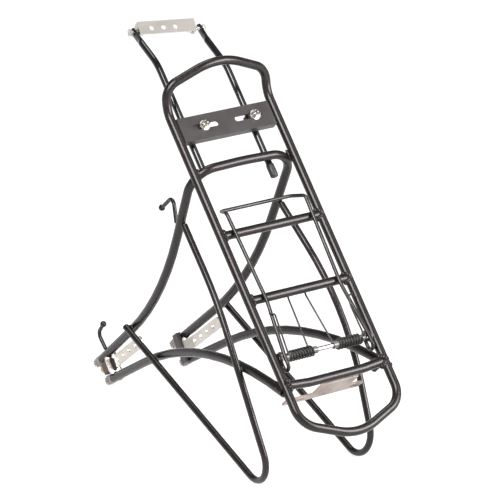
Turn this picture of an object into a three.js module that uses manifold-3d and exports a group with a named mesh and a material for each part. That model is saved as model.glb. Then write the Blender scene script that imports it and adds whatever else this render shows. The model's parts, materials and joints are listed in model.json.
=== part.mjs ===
// Tubular rear luggage rack for a bicycle, with a sprung clip, two sliding stays and two sliding feet.
// Millimetres. The rack is laid out in its own deck frame (X across, Y towards the bicycle's front,
// Z up from the deck), and the whole deck is then tipped so that it stands on the two bends of its
// side rods and the two ends of its rear legs.

import * as THREE from "three";
import { mergeVertices } from "three/addons/utils/BufferGeometryUtils.js";
import Module from "manifold-3d";

const wasm = await Module();
wasm.setup();

// ---------------------------------------------------------------- driving dimensions

const GAP = 0.3;                      // clearance left between pieces that touch
const CUT_PAST = 1;                   // how far a cutting shape runs past the wall it goes through

const TUBE_R = 5;                     // deck tubes and legs
const ROD_R = 3.75;                   // side rods and stays
const WIRE_R = 2.1;                   // sprung bail
const SPRING_WIRE_R = 1;
const TUBE_SIDES = 12;
const ROD_SIDES = 12;
const WIRE_SIDES = 10;
const SPRING_SIDES = 6;
const RING_SIDES = 20;
const HEXAGON = 6;
const BEND_STEP = THREE.MathUtils.degToRad(9);

// Deck loop: two straight side tubes, a kicked-up bow in front and a flat bow behind.
const RAIL_X = 64;
const RAIL_FRONT_Y = 88;
const RAIL_REAR_Y = -240;
const FRONT_BOW_FOLD = { x: RAIL_X, y: 114.5, z: 0, bend: 34 };
const FRONT_BOW_SHOULDER = { x: 63.8, y: 135.2, z: 16.3, bend: 20.5 };
const FRONT_BOW_PEAK = { x: 0, y: 149.9, z: 38.8, bend: 70 };
const REAR_BOW_SHOULDER = { y: -261, bend: 27 };
const REAR_BOW_PEAK = { y: -286.2, z: -3.5, bend: 60 };

// Cross tubes. The first runs on into the front legs; the last is bowed between the side tubes.
const FRONT_CROSS = { y: 39.3, z: -1.3, arch: 2, bend: 360, splitX: 35, endGap: 0.9 };
const MIDDLE_CROSS_YS = [-38.1, -115.6];
const REAR_CROSS = { y: -218, bendX: 34, endX: 57.8, endY: -216, bend: 60 };

// Legs, as corners of their centrelines on the right-hand side.
const FRONT_LEG_TOP = { x: 64.8, y: 40, z: -0.6, bend: 28 };
const FRONT_LEG_KNEE = { x: 59, y: -33.3, z: -170.7, bend: 390 };
const FRONT_LEG_TIP = { x: 51.3, y: -20.9, z: -374.7 };
const REAR_LEG_HOOK = { x: 53, y: -217.5, z: -10.6 };
const REAR_LEG_TOP = { x: 66.4, y: -212, z: -10.6, bend: 10 };
const REAR_LEG_KNEE = { x: 61.4, y: -101.4, z: -106.9, bend: 480 };
const REAR_LEG_TIP = { x: 50.3, y: -46.3, z: -367.7 };

// Pannier rod on each side: a flat V that keeps a bag off the wheel.
const SIDE_ROD = [
  [62.8, 6.5, -60.8],
  [69.8, -89.6, -48.1, 300],
  [74.1, -169.8, -57.4, 400],
  [64.9, -318.9, -104.3, 26.8],
  [66.4, -24.9, -255.7],
];

// Front plate, slotted for the stay clamps, with its rear edge folded down.
const PLATE = { halfWidth: 58.4, rear: 74.3, front: 103.1, thick: 2.2, foldDepth: 7.5, notchR: 4.35 };
const SLOT = { y: 89.3, inner: 10.5, outer: 44.8, halfWidth: 3 };
const SLOT_ARC_POINTS = 7;

// Stays: two rods that slide under the plate, each through its own clamp.
const STAY_Z = -12.6;
const STAYS = [
  {
    side: "left",
    clampX: -28.4,
    cap: 6,
    line: [
      [-43.5, 41, STAY_Z],
      [-43.5, 149, STAY_Z, 60],
      [-42.6, 177.5, -14, 60],
      [-41.2, 228.3, -35.2],
    ],
  },
  {
    side: "right",
    clampX: 36.4,
    cap: 15,
    line: [
      [37.6, 22, STAY_Z],
      [37.6, 160, STAY_Z, 60],
      [35.4, 199, -24.3, 30],
      [36, 216, -29.3],
    ],
  },
];
const CAP_R = 4.5;
const CAP_WALL_START = 2;
const CAP_EDGE = 0.9;
const CLAMP = { y: 89.3, length: 11, ringR: 6.6, boreR: 4.3, shankR: 2.5, top: 10.4 };
const CLAMP_ARM = { reach: 6, sink: 1.2, boltSink: 0.5 };
const WASHER = { r: 6.1, bore: 2.9, thick: 1 };
const NUT = { r: 4.6, bore: 2.8, thick: 4 };

// Stay ends, flattened to eyes for the bracket's bolts.
const EYE = { r: 5.2, thick: 3, bore: 3.1, neck: 12.5 };

// Folded bracket between the stay ends.
const BRACKET = { thick: 2, halfWidth: 7.6, shift: 1, webHeight: 8.5, drop: 6.5, eyeGap: 1.8 };
const BRACKET_INSET = { left: 0, right: 4.5 };
const BRACKET_HOLES = { r: 3, pitch: 14, shift: -6.5 };
const BRACKET_BOLT = { r: 2.4, headR: 4.6, head: 3.4, headGap: 1.2, nut: 4, nutGap: 0.6, past: 2 };

// Sprung clip: a bail hinged on an axle between the side tubes, with a torsion spring at each end.
const AXLE = { y: -185.5, z: 1.5, r: 2.5, halfLength: 58.7 };
const LUG = { r: 6.2, bore: 2.8, inner: 56.5, outer: 58.6 };
const SLEEVE = { r: 4, bore: 2.8, inner: 10, outer: 51.4 };
const COIL = { r: 5.25, turns: 8, inner: 16, outer: 45.6, stepsPerTurn: 8 };
const SPRING_FOOT = [
  [11, -111, -7.2],
  [11, -121, -8.8, 4],
];
const SPRING_ARM = [
  [48.4, AXLE.y, AXLE.z + COIL.r],
  [46.4, -150, 8.8, 30],
  [46.8, -139.5, 11.2, 3],
  [53.5, -137, 11.2],
];
const BAIL = [
  [54, -179.8, 1.2],
  [54, -179.8, -3.7, 3.4],
  [54, -200, -3.7, 5.4],
  [54, -200, 7.3, 5.4],
  [54, -186, 7.3, 60],
  [47, -122, 7.4, 80],
  [49, -60, 7.6, 80],
  [50.5, -15.9, 7.7, 5],
  [44.9, -6.1, -10.6, 4.5],
];

// Reflector bracket: an upright plate behind the last cross tube, wider below, with slots and two holes.
const PLATE_BACK = { y: -221.9, thick: 2, top: -3.5, shoulder: -27, bottom: -40.5, corner: 1.5 };
const PLATE_BACK_NECK = { left: -19, right: 28 };
const PLATE_BACK_ENDS = { left: -52, right: 47 };
const PLATE_BACK_SLOTS = { z: -33.7, halfWidth: 1.6, spans: [[-47, -27], [32, 43]] };
const PLATE_BACK_HOLES = { r: 2, centres: [[3, -27], [-2, -35]] };

// Feet: a perforated bar between the leg ends, with a clamp below its folded tab.
const FOOT = { y: -36.6, z: -341, lean: THREE.MathUtils.degToRad(5.5), x: 52 };
const BAR = { thick: 2.4, halfWidth: 6.7, top: 77, holeR: 2.8, legGap: 0.9 };
const BAR_HOLES = [16.5, 33, 49.5, 66];
const BAR_JOG = { inset: 6.4, start: 3, end: 10 };
const TAB = { halfX: 7.2, halfY: 12.8, slotX: 2.5, slotY: 9 };
const SADDLE = { top: -2.2, bottom: -12.5, webX: 41.4, webThick: 4.2, jawX: 48.5, notchR: 6.35 };
const SADDLE_JAWS = { front: 18, rear: -18 };
const SADDLE_CORE = { front: 6, rear: -8 };
const SADDLE_BOSS = { halfX: 2, front: 6, rear: -7, top: 1.4, sink: 1 };
const FOOT_BOLT = { y: 1.5, r: 2.4, headR: 4.6, headTop: -20, headBottom: -24.5, shankTop: -3 };

// Pump pegs on the left front leg.
const PEG_R = 2.3;
const PEG_BALL_R = 3.7;
const BALL_STEPS = [12, 8];
const UPPER_PEG = [
  [-62.2, 15.6, -75],
  [-58.2, 43.5, -66, 8],
  [-58, 45, -97],
];
const LOWER_PEG = [
  [-54, -17.8, -338.6],
  [-54.6, 3, -339.5, 8],
  [-55, 5.5, -320],
];

// The deck's tilt when the rack stands is looked for between these two angles.
const TILT_SEARCH = [30, 60].map(THREE.MathUtils.degToRad);
const TILT_HALVINGS = 50;

// ---------------------------------------------------------------- materials

function finish(color, roughness, metalness) {
  return () => new THREE.MeshStandardMaterial({ color, roughness, metalness });
}

const powderBlack = finish(0x161618, 0.42, 0.2);
const glossBlack = finish(0x0e0e10, 0.2, 0.2);
const zinc = finish(0xc8c6c2, 0.3, 0.9);
const steel = finish(0xb5b5b5, 0.35, 0.9);
const brassTone = finish(0xa98a55, 0.35, 0.9);
const softBlack = finish(0x101010, 0.7, 0);

// ---------------------------------------------------------------- shape helpers

// A centreline given by its stations: a point and a direction at each.
class StationLine extends THREE.Curve {
  constructor(stations) {
    super();
    this.stations = stations;
  }

  station(u) {
    return this.stations[Math.round(u * (this.stations.length - 1))];
  }

  getPointAt(u) {
    return this.station(u).point.clone();
  }

  getTangentAt(u) {
    return this.station(u).direction.clone();
  }
}

// Straight runs joined by circular bends. A corner is [x, y, z, bend radius].
function bentStations(corners) {
  const points = corners.map(([x, y, z]) => new THREE.Vector3(x, y, z));
  const heading = (i) => points[i + 1].clone().sub(points[i]).normalize();
  const stations = [{ point: points[0], direction: heading(0) }];
  for (let i = 1; i < points.length - 1; i += 1) {
    const into = heading(i - 1);
    const turn = into.angleTo(heading(i));
    const radius = corners[i][3];
    const axis = into.clone().cross(heading(i)).normalize();
    const spoke = into.clone().cross(axis);
    const start = points[i].clone().addScaledVector(into, -radius * Math.tan(turn / 2));
    const centre = start.clone().addScaledVector(spoke, -radius);
    const steps = Math.max(2, Math.ceil(turn / BEND_STEP));
    for (let k = 0; k <= steps; k += 1) {
      const angle = (turn * k) / steps;
      stations.push({
        point: centre.clone().addScaledVector(spoke.clone().applyAxisAngle(axis, angle), radius),
        direction: into.clone().applyAxisAngle(axis, angle),
      });
    }
  }
  stations.push({ point: points.at(-1), direction: heading(points.length - 2) });
  return stations;
}

function polygon(radius, sides) {
  const points = [];
  for (let i = 0; i < sides; i += 1) {
    const angle = (2 * Math.PI * i) / sides;
    points.push(new THREE.Vector2(radius * Math.cos(angle), radius * Math.sin(angle)));
  }
  return new THREE.Shape(points);
}

function sweep(stations, radius, sides) {
  const extrudePath = new StationLine(stations);
  return new THREE.ExtrudeGeometry(polygon(radius, sides), { steps: stations.length - 1, extrudePath });
}

function tube(corners, radius, sides) {
  return sweep(bentStations(corners), radius, sides);
}

function corner({ x, y, z, bend }) {
  return [x, y, z, bend];
}

function mirrored(corners) {
  return corners.map(([x, ...rest]) => [-x, ...rest]);
}

// A corner list that runs out to one side and back from the other.
function bothSides(corners, middle = []) {
  return [...corners, ...middle, ...mirrored(corners).reverse()];
}

function onSide(sign, corners) {
  return sign > 0 ? corners : mirrored(corners);
}

function outline(points) {
  return new THREE.Shape(points.map(([a, b]) => new THREE.Vector2(a, b)));
}

function rectangle(a0, a1, b0, b1) {
  return outline([[a0, b0], [a1, b0], [a1, b1], [a0, b1]]);
}

// A rectangle with half-round ends on its long sides, from a0 to a1 across and b wide.
function roundEnded(a0, a1, centre, halfWidth) {
  const points = [];
  for (const [end, startAngle] of [[a1 - halfWidth, -Math.PI / 2], [a0 + halfWidth, Math.PI / 2]]) {
    for (let i = 0; i <= SLOT_ARC_POINTS; i += 1) {
      const angle = startAngle + (Math.PI * i) / SLOT_ARC_POINTS;
      points.push([end + halfWidth * Math.cos(angle), centre + halfWidth * Math.sin(angle)]);
    }
  }
  return outline(points);
}

function slab(shape, depth) {
  return new THREE.ExtrudeGeometry(shape, { depth, bevelEnabled: false });
}

// Slabs whose thickness runs along X, Y or Z. Their outlines are drawn in YZ, XZ and XY.
function slabX(shape, x0, x1) {
  const axes = [new THREE.Vector3(0, 1, 0), new THREE.Vector3(0, 0, 1), new THREE.Vector3(1, 0, 0)];
  return slab(shape, x1 - x0).applyMatrix4(new THREE.Matrix4().makeBasis(...axes)).translate(x0, 0, 0);
}

function slabY(shape, y0, y1) {
  return slab(shape, y1 - y0).rotateX(Math.PI / 2).translate(0, y1, 0);
}

function slabZ(shape, z0, z1) {
  return slab(shape, z1 - z0).translate(0, 0, z0);
}

function toSolid(geometry) {
  const bare = geometry.clone();
  bare.deleteAttribute("normal");
  bare.deleteAttribute("uv");
  const merged = mergeVertices(bare, 1e-4);
  const vertProperties = new Float32Array(merged.attributes.position.array);
  const triVerts = new Uint32Array(merged.index.array);
  return new wasm.Manifold(new wasm.Mesh({ numProp: 3, vertProperties, triVerts }));
}

function toGeometry(solid) {
  const mesh = solid.getMesh();
  const geometry = new THREE.BufferGeometry();
  geometry.setAttribute("position", new THREE.BufferAttribute(mesh.vertProperties, 3));
  geometry.setIndex(new THREE.BufferAttribute(mesh.triVerts, 1));
  return geometry;
}

function join(...geometries) {
  return toGeometry(geometries.map(toSolid).reduce((whole, piece) => whole.add(piece)));
}

function cut(geometry, ...tools) {
  return toGeometry(tools.map(toSolid).reduce((whole, tool) => whole.subtract(tool), toSolid(geometry)));
}

function ringX(centreY, centreZ, outerR, boreR, x0, x1, sides) {
  const disc = polygon(outerR, sides);
  disc.holes.push(polygon(boreR, sides));
  return slabX(disc, x0, x1).translate(0, centreY, centreZ);
}

function ringZ(centreX, centreY, outerR, boreR, z0, z1, sides) {
  const disc = polygon(outerR, sides);
  disc.holes.push(polygon(boreR, ROD_SIDES));
  return slabZ(disc, z0, z1).translate(centreX, centreY, 0);
}

function rod(from, to, radius, sides = ROD_SIDES) {
  return tube([from, to], radius, sides);
}

const deck = new THREE.Group();

function add(name, geometry, material, parent = deck) {
  const mesh = new THREE.Mesh(geometry, material());
  mesh.name = name;
  parent.add(mesh);
  return mesh;
}

const SIDES = [["left", -1], ["right", 1]];

// ---------------------------------------------------------------- deck loop

function addSideTube(side, sign) {
  const x = sign * RAIL_X;
  add(`${side}_side_tube`, rod([x, RAIL_REAR_Y, 0], [x, RAIL_FRONT_Y, 0], TUBE_R, TUBE_SIDES), powderBlack);
}

function addFrontBow() {
  const start = [RAIL_X, RAIL_FRONT_Y + GAP, 0];
  const arm = [start, corner(FRONT_BOW_FOLD), corner(FRONT_BOW_SHOULDER)];
  add("front_bow", tube(bothSides(arm, [corner(FRONT_BOW_PEAK)]), TUBE_R, TUBE_SIDES), powderBlack);
}

function addRearBow() {
  const arm = [
    [RAIL_X, RAIL_REAR_Y - GAP, 0],
    [RAIL_X, REAR_BOW_SHOULDER.y, 0, REAR_BOW_SHOULDER.bend],
  ];
  const peak = [0, REAR_BOW_PEAK.y, REAR_BOW_PEAK.z, REAR_BOW_PEAK.bend];
  add("rear_bow", tube(bothSides(arm, [peak]), TUBE_R, TUBE_SIDES), powderBlack);
}

// ---------------------------------------------------------------- cross tubes, legs and side rods

function addCrossTubes() {
  const { y, z, arch, bend, splitX, endGap } = FRONT_CROSS;
  const middle = [[0, y + arch, z + arch, bend]];
  const front = tube(bothSides([[splitX - endGap, y, z]], middle), TUBE_R, TUBE_SIDES);
  add("front_cross_tube", front, powderBlack);
  const reach = RAIL_X - TUBE_R - GAP;
  MIDDLE_CROSS_YS.forEach((crossY, i) => {
    const ends = [[-reach, crossY, 0], [reach, crossY, 0]];
    add(`middle_cross_tube_${i + 1}`, rod(...ends, TUBE_R, TUBE_SIDES), powderBlack);
  });
  const bow = [[REAR_CROSS.endX, REAR_CROSS.endY, 0], [REAR_CROSS.bendX, REAR_CROSS.y, 0, REAR_CROSS.bend]];
  add("rear_cross_tube", tube(bothSides(bow), TUBE_R, TUBE_SIDES), powderBlack);
}

function addLegs(side, sign) {
  const { y, z, splitX } = FRONT_CROSS;
  const front = [{ x: splitX, y, z }, FRONT_LEG_TOP, FRONT_LEG_KNEE, FRONT_LEG_TIP].map(corner);
  const rear = [REAR_LEG_HOOK, REAR_LEG_TOP, REAR_LEG_KNEE, REAR_LEG_TIP].map(corner);
  add(`${side}_front_leg`, tube(onSide(sign, front), TUBE_R, TUBE_SIDES), powderBlack);
  return add(`${side}_rear_leg`, tube(onSide(sign, rear), TUBE_R, TUBE_SIDES), powderBlack);
}

function addSideRod(side, sign) {
  return add(`${side}_pannier_rod`, tube(onSide(sign, SIDE_ROD), ROD_R, ROD_SIDES), powderBlack);
}

// ---------------------------------------------------------------- front plate and stay clamps

function addFrontPlate() {
  const sheet = rectangle(-PLATE.halfWidth, PLATE.halfWidth, PLATE.rear, PLATE.front);
  for (const sign of [-1, 1]) {
    const ends = [sign * SLOT.inner, sign * SLOT.outer].sort((a, b) => a - b);
    sheet.holes.push(roundEnded(...ends, SLOT.y, SLOT.halfWidth));
  }
  const fold = rectangle(-PLATE.halfWidth, PLATE.halfWidth, -PLATE.foldDepth, PLATE.thick / 2);
  const folded = slabY(fold, PLATE.rear, PLATE.rear + PLATE.thick);
  const notches = STAYS.map(({ line: [[x]] }) => {
    const ends = [PLATE.rear - CUT_PAST, PLATE.rear + PLATE.thick + CUT_PAST];
    return rod([x, ends[0], STAY_Z], [x, ends[1], STAY_Z], PLATE.notchR);
  });
  add("front_plate", cut(join(slabZ(sheet, 0, PLATE.thick), folded), ...notches), powderBlack);
}

// An eye round the stay, an arm where the bolt stands to one side, and the threaded bolt itself.
function addStayClamp({ side, clampX, line: [[stayX]] }) {
  const half = CLAMP.length / 2;
  const eye = polygon(CLAMP.ringR, ROD_SIDES);
  const eyeSlab = slabY(eye, CLAMP.y - half, CLAMP.y + half).translate(stayX, 0, STAY_Z);
  const reach = [Math.min(stayX, clampX) - CLAMP.shankR, Math.max(stayX, clampX) + CLAMP_ARM.reach];
  const armTop = -GAP;
  const armBottom = STAY_Z + CLAMP.ringR - CLAMP_ARM.sink;
  const arm = slabZ(rectangle(...reach, CLAMP.y - half, CLAMP.y + half), armBottom, armTop);
  const boltFoot = armBottom + CLAMP_ARM.boltSink;
  const bolt = rod([clampX, CLAMP.y, boltFoot], [clampX, CLAMP.y, CLAMP.top], CLAMP.shankR);
  const boreEnds = [CLAMP.y - CLAMP.length, CLAMP.y + CLAMP.length].map((y) => [stayX, y, STAY_Z]);
  const bore = rod(...boreEnds, CLAMP.boreR);
  add(`${side}_stay_clamp`, cut(join(eyeSlab, arm, bolt), bore), steel);
  const washerZ = PLATE.thick + GAP;
  const washerTop = washerZ + WASHER.thick;
  const washer = ringZ(clampX, CLAMP.y, WASHER.r, WASHER.bore, washerZ, washerTop, RING_SIDES);
  add(`${side}_clamp_washer`, washer, zinc);
  const nutZ = washerTop + GAP;
  const nut = ringZ(clampX, CLAMP.y, NUT.r, NUT.bore, nutZ, nutZ + NUT.thick, HEXAGON);
  add(`${side}_clamp_nut`, nut, zinc);
}

// ---------------------------------------------------------------- stays and their bracket

function lastPoint(line) {
  return new THREE.Vector3(...line.at(-1));
}

function addStay({ side, line, cap }) {
  const tip = lastPoint(line);
  const heading = tip.clone().sub(new THREE.Vector3(...line.at(-2))).normalize();
  const neck = tip.clone().addScaledVector(heading, -EYE.neck);
  const shaft = [...line.slice(0, -1), neck.toArray()];
  const tilt = Math.atan2(heading.z, heading.y);
  const blade = roundEnded(-EYE.neck - EYE.r, EYE.r, 0, EYE.r);
  const eye = slabX(blade, -EYE.thick / 2, EYE.thick / 2).rotateX(tilt).translate(...tip.toArray());
  const bore = rod([tip.x - EYE.r, tip.y, tip.z], [tip.x + EYE.r, tip.y, tip.z], EYE.bore);
  add(`${side}_stay`, cut(join(tube(shaft, ROD_R, ROD_SIDES), eye), bore), glossBlack);

  const [x, y] = line[0];
  const wall = [
    [0, 0], [CAP_R - CAP_EDGE, 0], [CAP_R, CAP_EDGE], [CAP_R, cap],
    [ROD_R + GAP, cap], [ROD_R + GAP, CAP_WALL_START], [0, CAP_WALL_START],
  ];
  const profile = wall.map(([r, h]) => new THREE.Vector2(r, h));
  const capBody = new THREE.LatheGeometry(profile, RING_SIDES);
  add(`${side}_stay_cap`, capBody.translate(x, y - CAP_WALL_START - GAP, STAY_Z), softBlack);
}

// The bracket is drawn level about its own bolt line and then turned onto the line between the stay ends.
function addBracket() {
  const ends = STAYS.map(({ line }) => lastPoint(line));
  const line = ends[1].clone().sub(ends[0]);
  const across = line.clone().normalize();
  const up = new THREE.Vector3(0, 0, 1).addScaledVector(across, -across.z).normalize();
  const forward = up.clone().cross(across);
  const group = new THREE.Group();
  group.applyMatrix4(new THREE.Matrix4().makeBasis(across, forward, up));
  group.position.copy(ends[0]).lerp(ends[1], 0.5);
  deck.add(group);

  const { thick, halfWidth, shift, webHeight, drop, eyeGap } = BRACKET;
  const end = line.length() / 2 - EYE.thick / 2 - eyeGap;
  const outer = { left: end - BRACKET_INSET.left, right: end - BRACKET_INSET.right };
  const web = rectangle(-outer.left, outer.right, shift - halfWidth, shift + halfWidth);
  for (const k of [-1, 0, 1]) {
    const centreX = BRACKET_HOLES.shift + k * BRACKET_HOLES.pitch;
    const ring = polygon(BRACKET_HOLES.r, ROD_SIDES).getPoints().map(({ x, y }) => [x + centreX, y]);
    web.holes.push(outline(ring));
  }
  const ear = roundEnded(-drop, webHeight + halfWidth, -shift, halfWidth);
  const earSpan = [-2 * halfWidth, 2 * halfWidth];
  const earSlab = (x0) => cut(
    slabX(ear, x0, x0 + thick).rotateX(Math.PI / 2),
    rod([x0 - thick, 0, 0], [x0 + 2 * thick, 0, 0], BRACKET_BOLT.r + GAP),
    slabZ(rectangle(x0 - CUT_PAST, x0 + thick + CUT_PAST, ...earSpan), webHeight, webHeight + 2 * halfWidth),
  );
  const sheet = slabZ(web, webHeight - thick, webHeight);
  add("mounting_bracket", join(sheet, earSlab(-outer.left), earSlab(outer.right - thick)), zinc, group);

  const face = line.length() / 2 + EYE.thick / 2 + BRACKET_BOLT.headGap;
  for (const [side, sign] of SIDES) {
    addBracketBolt(group, side, sign, face, outer[side] - thick - BRACKET_BOLT.nutGap);
  }
}

// A hexagon bolt along the bracket's X, from its head's face to past the nut inside the ear.
function addBracketBolt(group, side, sign, face, nutFace) {
  const { r, headR, head, nut, past } = BRACKET_BOLT;
  const along = (a, b, radius, sides) => rod([sign * a, 0, 0], [sign * b, 0, 0], radius, sides);
  const shank = along(face + CUT_PAST, nutFace - nut - past, r);
  const hex = along(face, face + head, headR, HEXAGON);
  add(`${side}_bracket_bolt`, join(shank, hex), zinc, group);
  const nutBlank = along(nutFace, nutFace - nut, headR, HEXAGON);
  const nutBore = along(nutFace + CUT_PAST, nutFace - nut - CUT_PAST, r + GAP);
  add(`${side}_bracket_nut`, cut(nutBlank, nutBore), zinc, group);
}

// ---------------------------------------------------------------- sprung clip

function addAxle() {
  const end = AXLE.halfLength;
  add("clip_axle", rod([-end, AXLE.y, AXLE.z], [end, AXLE.y, AXLE.z], AXLE.r), steel);
}

function addClipEnd(side, sign) {
  const span = (inner, outer) => [sign * inner, sign * outer].sort((a, b) => a - b);
  const lug = ringX(AXLE.y, AXLE.z, LUG.r, LUG.bore, ...span(LUG.inner, LUG.outer), RING_SIDES);
  add(`${side}_axle_lug`, lug, powderBlack);
  const sleeve = ringX(AXLE.y, AXLE.z, SLEEVE.r, SLEEVE.bore, ...span(SLEEVE.inner, SLEEVE.outer), ROD_SIDES);
  add(`${side}_sleeve`, sleeve, softBlack);
  add(`${side}_spring`, sweep(springStations(sign), SPRING_WIRE_R, SPRING_SIDES), steel);
  add(`${side}_spring_arm`, tube(onSide(sign, SPRING_ARM), SPRING_WIRE_R, SPRING_SIDES), steel);
}

// The foot under the second middle tube, then the coil, which starts at the bottom and ends at the top.
function springStations(sign) {
  const start = [COIL.inner, AXLE.y, AXLE.z - COIL.r];
  const stations = bentStations(onSide(sign, [...SPRING_FOOT, start]));
  stations.pop();
  const angleSpan = 2 * Math.PI * COIL.turns + Math.PI;
  const steps = Math.round(COIL.turns * COIL.stepsPerTurn + COIL.stepsPerTurn / 2);
  const advance = COIL.outer - COIL.inner;
  for (let i = 0; i <= steps; i += 1) {
    const share = i / steps;
    const angle = -Math.PI / 2 - angleSpan * share;
    const x = sign * (COIL.inner + advance * share);
    const point = new THREE.Vector3(x, AXLE.y + COIL.r * Math.cos(angle), AXLE.z + COIL.r * Math.sin(angle));
    const slope = (sign * advance) / angleSpan;
    const direction = new THREE.Vector3(slope, COIL.r * Math.sin(angle), -COIL.r * Math.cos(angle));
    stations.push({ point, direction: direction.normalize() });
  }
  return stations;
}

function addBail() {
  add("bail", tube(bothSides(BAIL), WIRE_R, WIRE_SIDES), steel);
}

// ---------------------------------------------------------------- reflector bracket

function addReflectorBracket() {
  const { y, thick, top, shoulder, bottom, corner: bevel } = PLATE_BACK;
  const { left, right } = PLATE_BACK_ENDS;
  const neck = PLATE_BACK_NECK;
  const plate = outline([
    [left, bottom + bevel], [left + bevel, bottom], [right - bevel, bottom], [right, bottom + bevel],
    [right, shoulder - bevel], [right - bevel, shoulder], [neck.right, shoulder], [neck.right, top],
    [neck.left, top], [neck.left, shoulder], [left + bevel, shoulder], [left, shoulder - bevel],
  ]);
  for (const [x0, x1] of PLATE_BACK_SLOTS.spans) {
    plate.holes.push(roundEnded(x0, x1, PLATE_BACK_SLOTS.z, PLATE_BACK_SLOTS.halfWidth));
  }
  for (const [x, z] of PLATE_BACK_HOLES.centres) {
    const ring = polygon(PLATE_BACK_HOLES.r, ROD_SIDES).getPoints().map((p) => [p.x + x, p.y + z]);
    plate.holes.push(outline(ring));
  }
  add("reflector_bracket", slabY(plate, y - thick, y), zinc);
}

// ---------------------------------------------------------------- feet

// Joggled sheet seen along Y: the perforated bar above, the step inwards, and the folded tab at the bottom.
function barProfile(sign) {
  const { thick, top } = BAR;
  const { inset, start, end } = BAR_JOG;
  const mid = FOOT.x;
  const face = [
    [mid + TAB.halfX, 0], [mid - inset, 0], [mid - inset, start], [mid, end], [mid, top],
  ];
  const outside = face.map(([x, z], i) => [i === 0 ? x : x + thick / 2, i < 2 ? thick / 2 : z]);
  const inside = face.map(([x, z], i) => [i === 0 ? x : x - thick / 2, i < 2 ? -thick / 2 : z]);
  const points = [...outside, ...inside.reverse()].map(([x, z]) => [sign * x, z]);
  return outline(sign > 0 ? points : points.reverse());
}

function footBar(sign) {
  const { thick, halfWidth, top, holeR, legGap } = BAR;
  const strip = slabY(barProfile(sign), -halfWidth, halfWidth);
  const end = slabX(polygon(halfWidth, RING_SIDES), -thick / 2, thick / 2).translate(sign * FOOT.x, 0, top);
  const tabShape = roundEnded(-TAB.halfY, TAB.halfY, 0, TAB.halfX);
  const tab = slabZ(tabShape, -thick / 2, thick / 2).rotateZ(Math.PI / 2).translate(sign * FOOT.x, 0, 0);
  const slotShape = roundEnded(-TAB.slotY, TAB.slotY, 0, TAB.slotX);
  const slot = slabZ(slotShape, -thick, thick).rotateZ(Math.PI / 2).translate(sign * FOOT.x, 0, 0);
  const through = [sign * FOOT.x - 2 * thick, sign * FOOT.x + 2 * thick];
  const holes = BAR_HOLES.map((z) => rod([through[0], 0, z], [through[1], 0, z], holeR));
  const notches = footNotches(sign, thick / 2 + CUT_PAST, -thick / 2 - CUT_PAST, TUBE_R + legGap);
  return cut(join(strip, end, tab), slot, ...holes, ...notches);
}

// Where the two legs pass a foot, in the foot's own frame, as cutting tools between two heights.
function footNotches(sign, top, bottom, radius) {
  return [FRONT_LEG_KNEE, REAR_LEG_KNEE].map((knee, i) => {
    const tip = [FRONT_LEG_TIP, REAR_LEG_TIP][i];
    const at = (height) => {
      const share = (FOOT.z + height - knee.z) / (tip.z - knee.z);
      const y = knee.y + (tip.y - knee.y) * share - FOOT.y + height * Math.tan(FOOT.lean);
      return [sign * (knee.x + (tip.x - knee.x) * share), y, height];
    };
    return rod(at(bottom), at(top), radius, RING_SIDES);
  });
}

function footSaddle(sign) {
  const { top, bottom, webX, webThick, jawX, notchR } = SADDLE;
  const { front, rear } = SADDLE_JAWS;
  const spanX = (a, b) => [sign * a, sign * b].sort((p, q) => p - q);
  const block = slabZ(rectangle(...spanX(webX, jawX), rear, front), bottom, top);
  const coreX = spanX(webX + webThick / 2, FOOT.x + TAB.halfX);
  const core = slabZ(rectangle(...coreX, SADDLE_CORE.rear, SADDLE_CORE.front), bottom, top);
  const bossX = spanX(FOOT.x - SADDLE_BOSS.halfX, FOOT.x + SADDLE_BOSS.halfX);
  const bossFoot = rectangle(...bossX, SADDLE_BOSS.rear, SADDLE_BOSS.front);
  const boss = slabZ(bossFoot, top - SADDLE_BOSS.sink, SADDLE_BOSS.top);
  const notches = footNotches(sign, top + CUT_PAST, bottom - CUT_PAST, notchR);
  const boreEnds = [bottom - CUT_PAST, FOOT_BOLT.shankTop + GAP].map((z) => [sign * FOOT.x, FOOT_BOLT.y, z]);
  const bore = rod(...boreEnds, FOOT_BOLT.r + GAP);
  return cut(join(cut(join(block, core), ...notches), boss), bore);
}

function footBolt(sign) {
  const { y, r, headR, headTop, headBottom, shankTop } = FOOT_BOLT;
  const x = sign * FOOT.x;
  const shank = rod([x, y, headTop - CUT_PAST], [x, y, shankTop], r);
  return join(shank, rod([x, y, headBottom], [x, y, headTop], headR, HEXAGON));
}

function addFoot(side, sign) {
  const group = new THREE.Group();
  group.position.set(0, FOOT.y, FOOT.z);
  group.rotation.x = FOOT.lean;
  deck.add(group);
  add(`${side}_foot_bar`, footBar(sign), zinc, group);
  add(`${side}_foot_saddle`, footSaddle(sign), powderBlack, group);
  add(`${side}_foot_bolt`, footBolt(sign), brassTone, group);
}

// ---------------------------------------------------------------- pump pegs

function addPeg(name, corners) {
  const ball = new THREE.SphereGeometry(PEG_BALL_R, ...BALL_STEPS).translate(...corners.at(-1).slice(0, 3));
  add(name, join(tube(corners, PEG_R, WIRE_SIDES), ball), powderBlack);
}

// ---------------------------------------------------------------- assembly

addFrontBow();
addRearBow();
addCrossTubes();
const rests = [];
for (const [side, sign] of SIDES) {
  addSideTube(side, sign);
  rests.push({ rear: addLegs(side, sign), rod: addSideRod(side, sign) });
  addClipEnd(side, sign);
  addFoot(side, sign);
}
addFrontPlate();
STAYS.forEach(addStayClamp);
STAYS.forEach(addStay);
addBracket();
addAxle();
addBail();
addReflectorBracket();
addPeg("upper_pump_peg", UPPER_PEG);
addPeg("lower_pump_peg", LOWER_PEG);

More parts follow.
